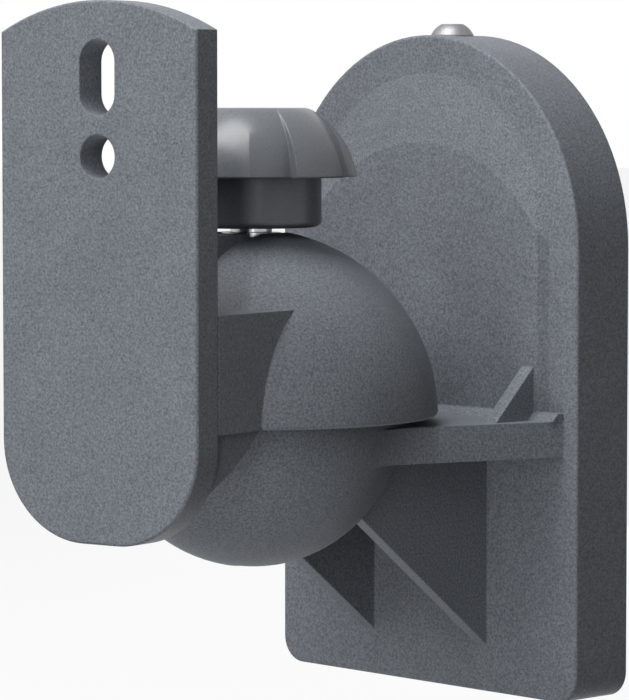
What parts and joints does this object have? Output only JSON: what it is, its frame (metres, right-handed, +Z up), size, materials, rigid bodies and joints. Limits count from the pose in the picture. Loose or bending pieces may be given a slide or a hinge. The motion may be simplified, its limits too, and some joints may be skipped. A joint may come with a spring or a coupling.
{
  "type": "speaker wall bracket",
  "caption": "Ball-joint wall bracket for a small speaker: arched wall housing, ribbed arm with a half ball, clamping dome with speaker plate, and a fluted knob.",
  "frame": {"origin": "on the wall, in the middle of the four fixing holes of the hidden wall plate", "axes": "+Z up along the wall, the wall is the plane Y = 0 and the object stands out of it towards -Y, +X to the right as seen from the room"},
  "size_m": [0.074, 0.0995, 0.1197],
  "materials": {
    "housing_plastic": "dark blue-grey moulded plastic with a fine spark-eroded grain",
    "plate_plastic": "plain black glass-filled plastic",
    "knob_plastic": "dark blue-grey plastic, smoother than the rest",
    "plated_steel": "bright zinc-plated steel"
  },
  "bodies": {
    "wall_side": {"wall_housing": "housing_plastic", "wall_plate": "plate_plastic", "lock_screw": "plated_steel", "lock_nut": "plated_steel", "ball_crown": "housing_plastic", "clamp_bolt": "plated_steel"},
    "seat": {"saddle_seat": "plated_steel"},
    "speaker_side": {"speaker_arm": "housing_plastic"},
    "washer": {"thrust_washer": "plated_steel"},
    "knob_side": {"knob": "knob_plastic", "knob_bush": "plated_steel"}
  },
  "joints": [
    {"name": "swivel", "type": "hinge", "parent": "wall_side", "child": "seat", "pos_m": [0, -0.0543, -0.0077], "axis": [0, 0, 1], "range_deg": [-57, 33]},
    {"name": "tilt", "type": "hinge", "parent": "seat", "child": "speaker_side", "pos_m": [0, -0.0543, -0.0077], "axis": [0.9781, 0.2079, 0], "range_deg": [-2, 12]},
    {"name": "clamp_lift", "type": "slide", "parent": "wall_side", "child": "washer", "axis": [0, 0, 1], "range_m": [0, 0.0015]},
    {"name": "knob_turn", "type": "hinge", "parent": "washer", "child": "knob_side", "pos_m": [0, -0.0543, 0.0329], "axis": [0, 0, 1], "range_deg": [0, 540]}
  ],
  "couplings": [
    {"joint": "knob_turn", "follows": "clamp_lift", "rad_per_m": 6283.2}
  ]
}
